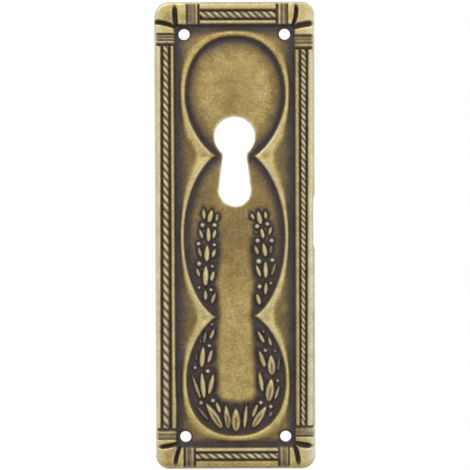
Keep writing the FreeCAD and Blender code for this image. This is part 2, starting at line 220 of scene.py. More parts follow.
# Garland leaves: tip across and up, foot across and up, width, and how far the leaf stands
# out as a share of the tallest
LEFT_LEAVES = (
    (-7.1, 6.15, -6.85, 3.65, 1, 0.9), (-5.1, 5.95, -5.95, 2.95, 1.31, 1),
    (-3.9, 5, -4.2, 3.25, 0.85, 0.8), (-8, 1.6, -7.25, -0.65, 0.9, 0.85),
    (-6, 2.15, -5.95, -1.45, 1.16, 1), (-4.3, 1.5, -4.95, -0.65, 0.95, 0.9),
    (-8.25, -2.45, -7.6, -4.8, 0.8, 0.8), (-6.25, -1.9, -6.4, -5.9, 1.41, 1),
    (-4.4, -2.9, -5.15, -4.85, 1, 0.9), (-8.7, -7.15, -8, -9.2, 0.85, 0.8),
    (-6.55, -6.5, -6.7, -11.45, 1.41, 1), (-4.75, -7.8, -5.45, -10.3, 1.05, 0.9),
    (-6.7, -12.1, -6.65, -14.6, 0.95, 0.9), (-4.45, -12.8, -5.4, -15.35, 0.95, 0.85),
    (-4.75, -20.95, -5.75, -23.4, 0.95, 0.85), (-6.6, -21.45, -7.15, -24.35, 0.85, 0.6),
    (-7.2, -24.75, -7.65, -29.8, 1.41, 1), (-5.2, -25.5, -6.2, -28.7, 1, 0.9),
    (-8.85, -26.2, -8.8, -28.2, 0.65, 0.5), (-7.65, -30.6, -7.05, -36.85, 1.31, 1),
    (-9.75, -31.4, -7.85, -36.85, 0.85, 0.8), (-4.9, -31.0, -6.05, -35.9, 1.2, 0.95),
)
RIGHT_LEAVES = (
    (3.6, 5.1, 4.3, 3.7, 0.95, 0.85), (5.15, 5.7, 5.85, 2.45, 1.31, 1),
    (6.8, 5.55, 7, 3.75, 1, 0.9), (5.9, 1.85, 6.45, -0.75, 0.96, 0.95),
    (8.2, 2.1, 7.65, 0.15, 0.9, 0.85), (6.35, -1.55, 6.95, -4.8, 1.26, 1),
    (4.45, -2.15, 5.25, -4.25, 1, 0.9), (8.3, -2, 7.9, -4.15, 0.8, 0.6),
    (6.85, -5.65, 6.9, -9.7, 1.16, 1), (4.7, -6.5, 5.8, -9.35, 0.95, 0.9),
    (9.25, -5.9, 8.15, -9.2, 0.8, 0.6), (7, -10.4, 6.8, -13.45, 0.96, 0.95),
    (4.9, -12.95, 5.6, -15.7, 1.11, 0.95), (5, -21.35, 6.6, -24.3, 0.96, 0.95),
    (7.5, -22.7, 8.1, -24.95, 0.9, 0.8), (8, -26.75, 8.25, -31.6, 1.95, 1),
    (5.35, -25.75, 6.7, -29.8, 1.2, 0.95), (9.95, -27.55, 9.5, -30.7, 0.75, 0.55),
    (8.15, -32.05, 7.4, -37.55, 2.05, 1), (5.35, -30.5, 6.15, -35.35, 1.1, 0.95),
    (9.9, -33.75, 8.85, -37.05, 0.85, 0.8),
)
FAN_LEAVES = (
    (-6.75, -37.55, -3.0, -43.6, 1.8, 1), (-8.7, -38.55, -6.05, -41.6, 0.85, 0.6),
    (-4.4, -37.4, -3.45, -40, 1, 0.85), (-2.25, -38, -1.6, -43.7, 1.46, 0.95),
    (0.1, -38.75, 0.05, -44.3, 2.15, 1), (2.5, -38.05, 1.95, -43.6, 1.01, 0.95),
    (5, -37.9, 3.75, -41, 1, 0.9), (7.05, -38.3, 3.7, -43.4, 1.8, 1),
    (8.2, -39.65, 7.7, -40.9, 0.85, 0.6),
)
Leaf = namedtuple("Leaf", "tip_x tip_z foot_x foot_z width rise")
LEAVES = [Leaf(*row) for row in LEFT_LEAVES + RIGHT_LEAVES + FAN_LEAVES]
BROAD_RISE = 0.95
BROAD_LEAVES = [leaf for leaf in LEAVES if leaf.rise >= BROAD_RISE]
SLENDER_LEAVES = [leaf for leaf in LEAVES if leaf.rise < BROAD_RISE]
VEIN_WIDTH = 1.45
VEIN_DEPTH = 0.44
VEIN_HALF = 0.27

# Garland berries: centre across and up, radius, and share of the tallest
BERRY_ROWS = (
    (-7.3, 2.45, 0.65, 1), (-4.6, 2.45, 0.6, 1), (-8.2, -1.75, 0.55, 0.9),
    (-4.65, -2, 0.5, 0.9), (-8.1, -6.25, 0.65, 1), (-5.15, -6.85, 0.45, 0.9),
    (-8.15, -11.65, 0.4, 0.8), (-5.45, -12.15, 0.5, 0.9), (-5.3, -19.95, 0.45, 0.6),
    (-7.9, -23.75, 0.35, 0.6), (-5.9, -24.75, 0.5, 0.9), (-9.1, -29.7, 0.5, 0.9),
    (-6.25, -30.5, 0.6, 1), (-7.8, -37.65, 0.58, 0.9), (-5.1, -37.15, 0.6, 1),
    (5.7, -37.65, 0.55, 1), (7.95, -38.55, 0.55, 1), (9.5, -32.7, 0.45, 0.8),
    (6.75, -25.85, 0.5, 0.9), (8.95, -26, 0.4, 0.6), (6.3, -21.6, 0.4, 0.6),
    (5, 2.15, 0.65, 1), (7.3, 2.65, 0.6, 1), (4.75, 0.8, 0.3, 0.7),
    (5.1, -1.1, 0.65, 1), (8.25, -1.1, 0.65, 0.9), (5.35, -5.75, 0.75, 1),
    (8.4, -5.5, 0.6, 0.9), (5.5, -11.45, 0.65, 1), (8.05, -10.7, 0.45, 0.8),
)
Berry = namedtuple("Berry", "x z radius rise")
BERRIES = [Berry(*row) for row in BERRY_ROWS]


def ramp(value, start, end):
    """Smooth rise from 0 at start to 1 at end."""
    share = np.clip((value - start) / (end - start), 0.0, 1.0)
    return share * share * (3.0 - 2.0 * share)


def bump(value, centre, width):
    """Smooth hump of height 1."""
    return np.exp(-(((value - centre) / width) ** 2))


def mixed(first, second, share):
    return first + (second - first) * share


def band(value, start, full, fading, gone):
    """1 from full to fading, and 0 before start and after gone."""
    return ramp(value, start, full) * (1 - ramp(value, fading, gone))


def between(value, stops):
    """The amount at a value, straight between stops that pair each place with its amount."""
    return np.interp(value, [place for place, amount in stops], [amount for place, amount in stops])


def patches(x, z, listed):
    """Soft patches added up: each one's place, its reach across and up, and its strength."""
    total = 0.0
    for at_x, at_z, across, up, strength in listed:
        total = total + strength * bump(x, at_x, across) * bump(z, at_z, up)
    return total


def soft_minimum(distances, blend):
    """The least of several distances, rounded off where two are nearly the same."""
    return -blend * np.log(sum(np.exp(-distance / blend) for distance in distances))


def right_edge(z):
    """The right-hand edge, with the stretch that was trimmed too deep."""
    trimmed = band(z, TRIM_BOTTOM - TRIM_RAMP, TRIM_BOTTOM, TRIM_TOP, TRIM_TOP + TRIM_RAMP)
    return RIGHT - TRIM_DEPTH * trimmed


def corner_radius(x, z):
    upper = np.where(x < 0, CORNER_RADII["top left"], CORNER_RADII["top right"])
    lower = np.where(x < 0, CORNER_RADII["bottom left"], CORNER_RADII["bottom right"])
    return np.where(z > 0, upper, lower)


def inset_from_edge(x, z):
    """How far a point lies inside the plate's rounded outline."""
    radius = corner_radius(x, z)
    past_x = np.where(x < 0, LEFT + radius - x, x - right_edge(z) + radius)
    past_z = np.abs(z) - (TOP - radius)
    rounded = np.hypot(np.maximum(past_x, 0), np.maximum(past_z, 0))
    straight = np.minimum(np.maximum(past_x, past_z), 0)
    return radius - rounded - straight


def side_places(x, z):
    """For each side of the frame: distance in from it, and distance along it from each corner."""
    from_left = x - LEFT
    from_right = RIGHT - x
    from_top = TOP - z
    from_bottom = z - BOTTOM
    return {
        "left": (leaned(from_left, z), from_top, from_bottom),
        "right": (from_right, from_top, from_bottom),
        "top": (from_top, from_left, from_right),
        "bottom": (from_bottom, from_left, from_right),
    }


def side_arms(side, places):
    """The two bindings of a side, each with the distance along the side from its corner."""
    return [(BINDINGS[(side, corner)], along) for corner, along in zip(CORNERS[side], places[side][1:])]


def inner_lean(z):
    """How much wider the left-hand inner rail is."""
    return between(-z, LEFT_RAIL_WIDER)


def leaned(across, z):
    """Distance in from the left side, with the inner rail's extra width taken out."""
    return across - inner_lean(z) * ramp(across, WIDENS_FROM, WIDENS_TO)


def inner_rail_start(side):
    return SIDES[side].outer + SIDES[side].groove


def frame_width(side):
    return inner_rail_start(side) + SIDES[side].inner


def from_the_frame(places):
    """Distance inward from the frame's inner edge."""
    return np.minimum.reduce([places[side][0] - frame_width(side) for side in SIDES])


def straightened(side, across, along):
    """Distance in from a side, with the stray of its groove and rope taken out."""
    return across + STRAY[side] * (along - STRAY_START) * (1 - ramp(across, 2.4, 3.6))


def rail_profile(across, side):
    """Section through two rounded rails with a square groove between them."""
    outer, inner = SIDES[side].outer, SIDES[side].inner
    far = inner_rail_start(side)
    return between(across, (
        (0, RAIL_TOP - 0.15), (outer * 0.45, RAIL_TOP), (outer - 0.3, RAIL_TOP - 0.04),
        (outer - 0.08, RAIL_TOP - 0.22), (outer + 0.14, GROOVE_FLOOR), (far - 0.14, GROOVE_FLOOR),
        (far + 0.08, RAIL_TOP - 0.25), (far + inner * 0.5, RAIL_TOP - 0.02), (far + inner, RAIL_TOP - 0.3),
    ))


def strand_phase(across, along, side):
    """Where a point lies in a rope: strands counted from the first, and place across, -1 to 1."""
    widths = SIDES[side]
    first, pitch, growth = ROPES[side][:3]
    offset = across - widths.outer - widths.groove / 2
    if side in ("right", "bottom"):
        offset = -offset
    run = along - STRAND_SLANT * offset - first
    counted = (np.sqrt(np.maximum(pitch ** 2 + 4 * growth * run, 0)) - pitch) / (2 * growth)
    return counted + uneven_twist(side, along), offset / (widths.rope / 2)


def uneven_twist(side, along):
    """How many strands a rope is ahead of even spacing."""
    return UNEVEN[side] * np.cos(2 * np.pi * (along - WAVE_START) / WAVE_LENGTH)


def rope_height(across, along, side):
    """Height of the twisted rope above its groove's floor."""
    counted, place = strand_phase(across, along, side)
    count = ROPES[side][3]
    strand = np.abs(np.cos(np.pi * counted)) ** 0.5
    round_over = np.clip(1 - (place / 1.15) ** 2, 0, 1) ** 0.4
    ends = band(counted, -0.75, -0.4, count - 0.6, count - 0.25)
    return (ROPE_TOP - GROOVE_FLOOR) * round_over * mixed(0.25, 1.0, strand) * ends


def lens_cut(across, along, binding, width_of_frame):
    """Depth of the leaf-shaped groove beside a corner block: a point outside, open at the field."""
    start, width = binding[3:5]
    share = np.clip(across / width_of_frame, 0, 1.2)
    narrowed = mixed(0.28, 1.0, ramp(share, start, start + 0.38)) * mixed(1.0, 0.8, ramp(share, 0.8, 1.1))
    half = width / 2 * narrowed
    away = np.abs(along - lens_middle(share, binding))
    return ramp(share, start, start + 0.4) * (1 - ramp(away, half * 0.55, half * 1.45))


def lens_middle(share, binding):
    """Where the middle of a lens groove lies along its arm, for a share of the frame's width."""
    at_edge, at_field, bow = binding[:3]
    return mixed(at_edge, at_field, share ** LENS_BEND) - bow * np.sin(np.pi * np.clip(share, 0, 1))


def binding_profile(across, along, binding, width_of_frame):
    """Height over a binding: block, lens groove, pillow and ribs in turn."""
    ribs = binding[5]
    first_rib = ribs[0][0]
    block = FRAME_TOP - 0.11 * ramp(across / width_of_frame, 0.2, 0.6)
    ribbed = mixed(GROOVE_FLOOR, RAIL_TOP, between(along, ribs))
    ribbed = mixed(RAIL_TOP - 0.1, ribbed, ramp(across, 0.2, 0.8))
    return mixed(block, ribbed, ramp(along, first_rib - 0.3, first_rib))


def side_height(side, places, low):
    """Height of one side of the frame, falling to the given field at its inner edge."""
    across, from_start = places[side][:2]
    width = frame_width(side)
    straight = straightened(side, across, from_start)
    height = rail_profile(straight, side)
    height = np.maximum(height, GROOVE_FLOOR + rope_height(straight, from_start, side))
    for binding, along in side_arms(side, places):
        bound = binding_profile(across, along, binding, width)
        rails = rails_start(binding)
        height = mixed(bound, height, ramp(along, rails - JOIN_BEFORE, rails + JOIN_AFTER))
    return mixed(height, low, ramp(across, width - 0.12, width + FALL))


def rails_start(binding):
    """Where the rails start on an arm of the frame, measured from its corner."""
    return binding[5][-1][0] + RAILS_AFTER


def lens_cuts(places):
    """Depth of all eight lens grooves."""
    depth = 0.0
    for side in SIDES:
        across = places[side][0]
        width = frame_width(side)
        within = 1 - ramp(across, width, width + 0.6)
        for binding, along in side_arms(side, places):
            depth = np.maximum(depth, LENS_DEPTH * lens_cut(across, along, binding, width) * within)
    return depth


def lobe_distance(x, z, lobe):
    """Distance outward from the crest of the bead round one lobe, close to true near it."""
    middle, centre, half, up, down, square_up, square_down = lobe
    power = np.where(z > centre, square_up, square_down)
    reach = np.where(z > centre, up, down)
    across = np.abs(x - middle) / half
    along = np.abs(z - centre) / reach
    level = (across ** power + along ** power) ** (1 / power) + 1e-9
    slope_x = (across / level) ** (power - 1) / half
    slope_z = (along / level) ** (power - 1) / reach
    return (level - 1) / np.hypot(slope_x, slope_z) - EDGE_TO_CREST


def cartouche_distances(x, z):
    """Distance outward from the crest line of the whole cartouche, sharp and softened."""
    away = [lobe_distance(x, z, lobe) for lobe in LOBES]
    strip = np.where(np.abs(z) < STRIP_END, np.abs(x) - STRIP_HALF - EDGE_TO_CREST, FAR)
    sharp = np.minimum(np.minimum.reduce(away), strip)
    soft = soft_minimum([np.clip(distance, -30, 30) for distance in away], LOBE_BLEND)
    return sharp, np.minimum(soft, sharp)


def keyhole_distance(x, z):
    """Distance outward from the keyhole's edge."""
    head = np.hypot(x, z - KEYHOLE_CENTRE) - KEYHOLE_RADIUS
    share = np.clip((NECK_Z - z) / (NECK_Z - FOOT_Z), 0, 1)
    slot = np.where(z < NECK_Z + 2, np.abs(x) - mixed(NECK_HALF, FOOT_HALF, share), FAR)
    slot = np.where(z < FOOT_Z, np.hypot(x, z - FOOT_Z) - FOOT_HALF, slot)
    return np.minimum(head, slot)


def leaf_places(x, z, leaf):
    """Where points lie on a leaf: 0 at its foot to 1 at its tip, and how far from its midrib."""
    tip, foot = np.array(leaf[:2]), np.array(leaf[2:4])
    run = tip - foot
    length = np.hypot(*run)
    ahead = run / length
    along = ((x - foot[0]) * ahead[0] + (z - foot[1]) * ahead[1]) / length
    sideways = (x - foot[0]) * ahead[1] - (z - foot[1]) * ahead[0]
    return along, sideways


def leaf_half_width(along, leaf):
    """Half the width of a leaf: full in its lower half, drawn to a point at its tip."""
    inside = np.clip(along, 0, 1)
    return leaf.width / 2 * (np.sin(np.pi * inside ** 0.85) ** 0.85 + 0.12)


def has_vein(leaf):
    """Whether a leaf is broad enough for its midrib to show as a groove."""
    return leaf.width >= VEIN_WIDTH


def leaf_height(x, z, leaf):
    """Height of one leaf above the recess, 0 off it."""
    along, sideways = leaf_places(x, z, leaf)
    across = sideways / leaf_half_width(along, leaf)
    body = np.sqrt(np.clip(1 - across ** 2, 0, 1)) ** 0.8
    if has_vein(leaf):
        body = body - VEIN_DEPTH * bump(sideways, 0, VEIN_HALF) * band(along, 0.02, 0.15, 0.45, 0.75)
    return LEAF_RISE * leaf.rise * body * band(along, -0.05, 0.12, 0.86, 1.06)


def berry_height(x, z, berry):
    """Height of one berry above the recess, 0 off it."""
    away = np.hypot(x - berry.x, z - berry.z) / berry.radius
    return BERRY_RISE * berry.rise * np.sqrt(np.clip(1 - away ** 2, 0, 1))


def garland_height(x, z, leaves=LEAVES, berries=BERRIES):
    """Height of the leaves and berries above the recess."""
    height = np.zeros_like(x)
    for pieces, shape in ((leaves, leaf_height), (berries, berry_height)):
        for piece in pieces:
            near = beside_piece(x, z, piece, 0)
            if near.any():
                height[near] = np.maximum(height[near], shape(x[near], z[near], piece))
    return height


def away_from_leaf(x, z, leaf):
    """Distance outward from a leaf's outline."""
    along, sideways = leaf_places(x, z, leaf)
    past = np.maximum(-along, along - 1).clip(0) * math.dist(leaf[:2], leaf[2:4])
    return np.hypot(np.maximum(np.abs(sideways) - leaf_half_width(along, leaf), 0), past)


def away_from_berry(x, z, berry):
    """Distance outward from a berry's outline."""
    return np.hypot(x - berry.x, z - berry.z) - berry.radius


def away_from_garland(x, z):
    """Distance outward from the nearest leaf or berry, no more than the bed's reach."""
    away = np.full_like(x, BED_REACH)
    for pieces, distance in ((LEAVES, away_from_leaf), (BERRIES, away_from_berry)):
        for piece in pieces:
            near = beside_piece(x, z, piece, BED_REACH)
            if near.any():
                away[near] = np.minimum(away[near], distance(x[near], z[near], piece))
    return away


def beside_piece(x, z, piece, margin):
    """Which points lie near a leaf or a berry."""
    first = piece[:2]
    last = piece[2:4] if isinstance(piece, Leaf) else first
    reach = margin + 1.2
    across = (x > min(first[0], last[0]) - reach) & (x < max(first[0], last[0]) + reach)
    return across & (z > min(first[1], last[1]) - reach) & (z < max(first[1], last[1]) + reach)


def tongue_edge(x, z):
    """Distance outward from the edge of the smooth tongue between the garlands."""
    half = between(-z, TONGUE_HALVES)
    sideways = np.abs(x - TONGUE_LEAN * ramp(-z, 24, 34))
    past_side = np.maximum(sideways - half + TONGUE_CORNER, 0)
    past_end = np.maximum(-z - TONGUE_END + TONGUE_CORNER, 0)
    return np.hypot(past_side, past_end) - TONGUE_CORNER


def interior_height(x, z, sharp):
    """Height of the ground inside the bead: dome, smooth ground, tongue and sunk beds."""
    inward = -sharp
    up_dome = np.clip((inward - DOME_START) / DOME_REACH, 0, 1)
    dome = mixed(RING_FLOOR, DOME_TOP, np.sqrt(1 - (1 - up_dome) ** 2))
    ground = RING_FLOOR + GROUND_RISE * ramp(inward, 1.0, 4.0)
    bed = 1 - ramp(away_from_garland(x, z), 0.2, BED_REACH)
    ground = mixed(ground, RECESS_FLOOR, bed)
    on_tongue = (1 - ramp(tongue_edge(x, z), -1.3, 0.6)) * ramp(inward, 0.4, 1.4)
    lower = mixed(ground, TONGUE_TOP, on_tongue)
    return mixed(lower, dome, ramp(z, 17.5, 24.0))


def field_height(x, z, soft, places):
    """Height of the ground between the frame and the bead."""
    rise = ramp(from_the_frame(places), 0.4, 3.2) * ramp(4.0 - soft, 0, 3.0)
    return mixed(FIELD_NEAR_FRAME, FIELD_NEAR_BEAD, rise)


def room_outside(places):
    """Distance inward from the frame's inner edge, rounded off in the field's corners."""
    inward = [np.clip(places[side][0] - frame_width(side), -10, 40) for side in SIDES]
    return soft_minimum(inward, ROOM_BLEND)


def bead_share(z, soft, room):
    """How much of the bead is left outward of its crest: it fades slowly where there is room."""
    middle = between(room, SLOPE_MIDDLE) + between(z, BEAD_WIDER)
    half = between(room, SLOPE_HALF) + 0.25 * ramp(np.abs(z), 41, 44.5)
    return 1 - ramp(soft, middle - half, middle + half)


def cusp_dip(x, z):
    """The shallow hollow in the flat land behind each of the cartouche's points."""
    upper = bump(z, CUSP_Z, 0.7)
    lower = bump(z, -CUSP_Z - 0.6, 0.7)
    return (upper + lower) * bump(np.abs(x), CUSP_X, 0.7)


def bead_height(x, z, sharp, soft, room, inside, outside):
    """The bead, a rounded ridge between the ground inside it and the field outside it."""
    inner = ramp(sharp, -0.95, -0.25)
    share = bead_share(z, soft, room)
    crest = BEAD_TOP - 0.07 * (1 - bump(sharp, 0, 0.4)) - 0.1 * ramp(sharp, 0.5, 1.3) - 0.12 * cusp_dip(x, z)
    height = mixed(inside, crest, inner)
    return mixed(outside, height, share)


def hole_dimples(x, z):
    """Depth of the dimple punched round each pin hole."""
    depth = 0.0
    for hole_x, hole_z in HOLES:
        away = np.hypot(x - hole_x, z - hole_z) - HOLE_RADIUS
        depth = depth + 0.3 * (1 - ramp(away, -0.1, 0.55))
    return depth


def edge_roll(inset):
    """How far the face has fallen at a distance in from the plate's outer edge."""
    away = np.clip(EDGE_ROUND - inset, 0, EDGE_ROUND)
    return EDGE_ROUND - np.sqrt(EDGE_ROUND ** 2 - away ** 2)


def face_height(x, z):
    """Height of the plate's face above the wall."""
    places = side_places(x, z)
    sharp, soft = cartouche_distances(x, z)
    field = field_height(x, z, soft, places)
    inside = interior_height(x, z, sharp) + garland_height(x, z)
    ground = bead_height(x, z, sharp, soft, room_outside(places), inside, field)
    height = ground
    for side in SIDES:
        height = np.maximum(height, side_height(side, places, ground))
    height = height - lens_cuts(places) - hole_dimples(x, z)
    height = height - 0.12 * (1 - ramp(keyhole_distance(x, z), 0, 0.3))
    return height - edge_roll(inset_from_edge(x, z))


# Brightness of the patina, as a share of white
RAIL_TONE = 0.72
GROOVE_DARK = 0.19
BEAD_TONE = 0.655
LEAF_SHADE = 0.17
LEAF_TONE = 0.67
BERRY_TONE = 0.62
BACK_RIM_TONE = 0.4
BACK_HOLLOW_TONE = 0.27
BACK_VIOLET = 0.2
LENS_DARKNESS = 0.79
# Height up the plate of the painted highlight at the keyhole's neck
NECK_HIGHLIGHT_Z = 18.4
# Share of brightness kept at the bottom rail's lower edge: painted shade, as if lit from above
BOTTOM_RAIL_SHADED = 0.82
TOP_RAIL_LEFT = 0.97
INNER_RAIL_DULLED = {"left": 0.04, "right": 0.13}

# Brightness at distances in from the frame, and in from the bead over the dome and beside the
# keyhole, and of the tongue at places down the plate
FIELD_TONES = (
    (0, 0.25), (0.3, 0.2), (0.9, 0.22), (1.4, 0.28), (1.85, 0.335), (2.45, 0.39), (3.2, 0.42), (4.3, 0.46),
)
DOME_TONES = (
    (0.9, 0.205), (1.2, 0.215), (1.5, 0.25), (1.8, 0.3), (2.2, 0.37), (2.7, 0.42),
    (3.3, 0.475), (4.0, 0.54), (5.0, 0.59), (6.5, 0.62), (8.5, 0.61),
)
BESIDE_KEYHOLE_TONES = (
    (0.9, 0.21), (1.35, 0.215), (1.65, 0.26), (2.0, 0.33), (2.45, 0.39),
    (3.0, 0.435), (3.65, 0.455), (4.5, 0.475), (6.0, 0.5),
)
TONGUE_TONES = ((-4, 0.46), (2, 0.49), (8, 0.53), (14, 0.585), (20, 0.61))

# Patches that are lighter or browner: place, reach across and up, and change of brightness
FRAME_PATCHES = (
    (-14.3, 49.1, 1.2, 1.2, -0.08), (-10.9, 49.6, 0.9, 0.9, -0.04), (14.5, 49.5, 3.5, 3.5, 0.04),
    (-14.5, -50.0, 3.5, 3.5, -0.05), (14.5, -50.0, 3.0, 3.0, 0.035), (-16.8, -51.0, 1.2, 1.2, 0.09),
    (17.0, -43.3, 0.8, 0.8, 0.14), (16.8, -51.2, 1.1, 1.1, 0.1),
)
BEAD_PATCHES = (
    (-5.2, CUSP_Z, 0.6, 0.6, -0.14), (-5.2, -CUSP_Z, 0.6, 0.6, -0.14), (-9.5, 43.6, 1.3, 1.3, -0.16),
)
DOME_PATCHES = (
    (-0.8, 30.2, 2.6, 3.6, -0.06), (-0.5, 37.0, 4.5, 6.0, -0.04), (-8.6, 33.0, 2.2, 11.0, 0.05),
    (7.3, 31.0, 2.6, 9.0, 0.05), (-7.0, 39.4, 1.7, 2.0, 0.07),
)

# Spacing of the mesh's points
LINE_STEP = 0.3
FILL_STEP = 0.36
BACK_STEP = 0.55
NEAREST = 0.1
LINE_CLEAR = 0.06
FILL_CLEAR = 0.2
BACK_CLEAR = 0.3
RASTER = 0.1
BERRY_RINGS = ((0.5, 8), (0.85, 12), (1, 14), (1.3, 12))


def arc(centre, radius, angles):
    """Points at the given angles round a centre."""
    return np.column_stack([centre[0] + radius * np.cos(angles), centre[1] + radius * np.sin(angles)])


def outline_points(inset):
    """Points round the plate, clockwise from the top right, a little way in from its edge."""
    corners = (
        ("top right", 1, 1, 90), ("bottom right", 1, -1, 0),
        ("bottom left", -1, -1, -90), ("top left", -1, 1, 180),
    )
    ends = []
    for name, side_x, side_z, start in corners:
        radius = CORNER_RADII[name]
        angles = np.radians(np.linspace(start, start - 90, 17))
        ends.append(arc((side_x * (RIGHT - radius), side_z * (TOP - radius)), radius - inset, angles))
    points = []
    for here, there in zip(ends, ends[1:] + ends[:1]):
        count = max(2, round(np.hypot(*(there[0] - here[-1])) / LINE_STEP))
        points.append(here)
        points.append(here[-1] + (there[0] - here[-1]) * (np.arange(1, count) / count)[:, None])
    points = np.vstack(points)
    on_right = points[:, 0] > RIGHT - 1.5
    points[on_right, 0] -= RIGHT - right_edge(points[on_right, 1])
    return points


def keyhole_points():
    """Points round the keyhole, anticlockwise from the top of its head."""
    junction = -math.acos(NECK_HALF / KEYHOLE_RADIUS)
    head = np.linspace(math.pi / 2, junction, 46)
    foot = np.linspace(0, -math.pi / 2, 22)
    right = [(KEYHOLE_RADIUS * math.cos(a), KEYHOLE_CENTRE + KEYHOLE_RADIUS * math.sin(a)) for a in head]
    right.append((NECK_HALF, (right[-1][1] + NECK_Z) / 2))
    for share in np.linspace(0, 1, 28)[:-1]:
        right.append((mixed(NECK_HALF, FOOT_HALF, share), mixed(NECK_Z, FOOT_Z, share)))
    right += [(FOOT_HALF * math.cos(a), FOOT_Z + FOOT_HALF * math.sin(a)) for a in foot]
    left = [(-x, z) for x, z in right[-2:0:-1]]
    return np.array(right + left)


def round_points(centre, radius, count=28):
    angles = np.linspace(0, 2 * math.pi, count, endpoint=False)
    return arc(centre, radius, angles)


def moved_out(points, away):
    """A loop moved away from the opening that it runs round clockwise."""
    run = np.roll(points, -1, axis=0) - np.roll(points, 1, axis=0)
    run /= np.hypot(run[:, 0], run[:, 1])[:, None]
    return points + away * np.column_stack([-run[:, 1], run[:, 0]])


def on_side(side, across, along):
    """Places in the plane for distances in from a side and along it from the top or left."""
    if side == "left":
        lean = inner_lean(TOP - along) * ramp(across, WIDENS_FROM, WIDENS_TO - 0.2)
        return np.column_stack([LEFT + across + lean, TOP - along])
    if side == "right":
        return np.column_stack([RIGHT - across, TOP - along])
    if side == "top":
        return np.column_stack([LEFT + along, TOP - across])
    return np.column_stack([LEFT + along, BOTTOM + across])


def crossed(first, second):
    """Every pairing of two rows of distances."""
    grid = np.meshgrid(first, second)
    return grid[0].ravel(), grid[1].ravel()


def rail_points(side):
    """Lines of points along a side's rails and groove."""
    outer, inner = SIDES[side].outer, SIDES[side].inner
    far = inner_rail_start(side)
    start, end = straight_run(side)
    stops = (outer * 0.45, outer - 0.3, outer - 0.08, outer + 0.14, far - 0.14, far + 0.08,
             far + inner * 0.5, far + inner - 0.12, far + inner + 0.12, far + inner + FALL)
    across, along = crossed(stops, np.arange(start, end, LINE_STEP))
    return on_side(side, 2 * across - straightened(side, across, along), along)


def side_length(side):
    return TOP - BOTTOM if side in ("left", "right") else RIGHT - LEFT


def straight_run(side):
    """Where a side's rails start and end, between its two bindings."""
    start, end = [rails_start(BINDINGS[(side, corner)]) for corner in CORNERS[side]]
    return start, side_length(side) - end


def rope_points(side):
    """A small grid of points on every strand of a rope."""
    widths = SIDES[side]
    first, pitch, growth, count = ROPES[side]
    centre = widths.outer + widths.groove / 2
    counted = (np.arange(count)[:, None] + np.array([-0.5, -0.36, -0.18, 0, 0.18, 0.36])).ravel()
    slanted = first + counted * (pitch + growth * counted)
    slanted = slanted - pitch * uneven_twist(side, slanted)
    places, slanted = crossed(np.array([-1.1, -0.85, -0.45, 0, 0.45, 0.85, 1.1]), slanted)
    offset = places * widths.rope / 2
    along = slanted + STRAND_SLANT * offset
    across = centre + (-offset if side in ("right", "bottom") else offset)
    return on_side(side, 2 * across - straightened(side, across, along), along)


def binding_points(side, corner):
    """Lines of points across one corner binding, along its grooves."""
    binding = BINDINGS[(side, corner)]
    across_frame = np.arange(0.1, frame_width(side) + 0.2, LINE_STEP)
    places = [place for place, share in binding[5]]
    rails = rails_start(binding)
    stops = [places[0] - 0.5, places[0] - 0.3, places[0] - 0.14, rails - JOIN_BEFORE, rails + JOIN_AFTER]
    stops += places + [(here + there) / 2 for here, there in zip(places, places[1:])]
    across, along = crossed(across_frame, np.array(stops))
    share = across_frame / frame_width(side)
    for offset in (-0.75, -0.5, -0.25, 0, 0.25, 0.5, 0.75):
        across = np.concatenate([across, across_frame])
        along = np.concatenate([along, lens_middle(share, binding) + offset * binding[4]])
    if corner == CORNERS[side][1]:
        along = side_length(side) - along
    return on_side(side, across, along)


def bead_points():
    """Rings of points along the bead and the slopes on both sides of it."""
    angles = np.linspace(0, 2 * math.pi, 330, endpoint=False)
    rings = []
    for lobe in LOBES:
        middle, centre, half, up, down, square_up, square_down = lobe
        power = np.where(np.sin(angles) > 0, square_up, square_down)
        reach = np.where(np.sin(angles) > 0, up, down)
        x = middle + half * np.sign(np.cos(angles)) * np.abs(np.cos(angles)) ** (2 / power)
        z = centre + reach * np.sign(np.sin(angles)) * np.abs(np.sin(angles)) ** (2 / power)
        loop = np.column_stack([x, z])
        for away in (-1.1, -0.85, -0.6, -0.3, 0, 0.3, 0.6, 0.9, 1.2):
            ring = moved_out(loop[::-1], away + EDGE_TO_CREST)
            sharp = cartouche_distances(ring[:, 0], ring[:, 1])[0]
            rings.append(ring[np.abs(sharp - away) < 0.15])
    return np.vstack(rings)


def leaf_points(leaf):
    """Points along the middle, the slopes and the edges of a leaf."""
    tip, foot = np.array(leaf[:2]), np.array(leaf[2:4])
    run = tip - foot
    length = np.hypot(*run)
    sideways = np.array([run[1], -run[0]]) / length
    shares = np.linspace(-0.04, 1.04, max(5, round(length / 0.22)))
    rows = [foot + run * shares[:, None] + sideways * (leaf_half_width(shares, leaf) * place)[:, None]
            for place in (0, -1.2, -1, -0.6, 0.6, 1, 1.2)]
    if has_vein(leaf):
        beside = (-0.36, -0.18, 0.18, 0.36)
        rows = [foot + run * shares[:, None] + sideways * place for place in beside] + rows
    return np.vstack(rows)


def berry_points(berry):
    """Rings of points round the middle of a berry."""
    centre = (berry.x, berry.z)
    rings = [round_points(centre, berry.radius * share, count) for share, count in BERRY_RINGS]
    return np.vstack([[centre]] + rings)


def fill_points(step):
    """An even field of points over the plate."""
    rows = np.arange(BOTTOM + step, TOP, step * math.sqrt(0.75))
    columns = np.arange(LEFT + step, RIGHT, step)
    x, z = np.meshgrid(columns, rows)
    x = x + (np.arange(len(rows)) % 2)[:, None] * step / 2
    return np.column_stack([x.ravel(), z.ravel()])


def hole_distance(x, z):
    away = [np.hypot(x - hole_x, z - hole_z) - HOLE_RADIUS for hole_x, hole_z in HOLES]
    return np.minimum.reduce(away)


def on_metal(points, margin):
    """Which points lie on the sheet, clear of its edges."""
    x, z = points[:, 0], points[:, 1]
    inside_edge = inset_from_edge(x, z) > margin
    return inside_edge & (keyhole_distance(x, z) > margin) & (hole_distance(x, z) > margin)


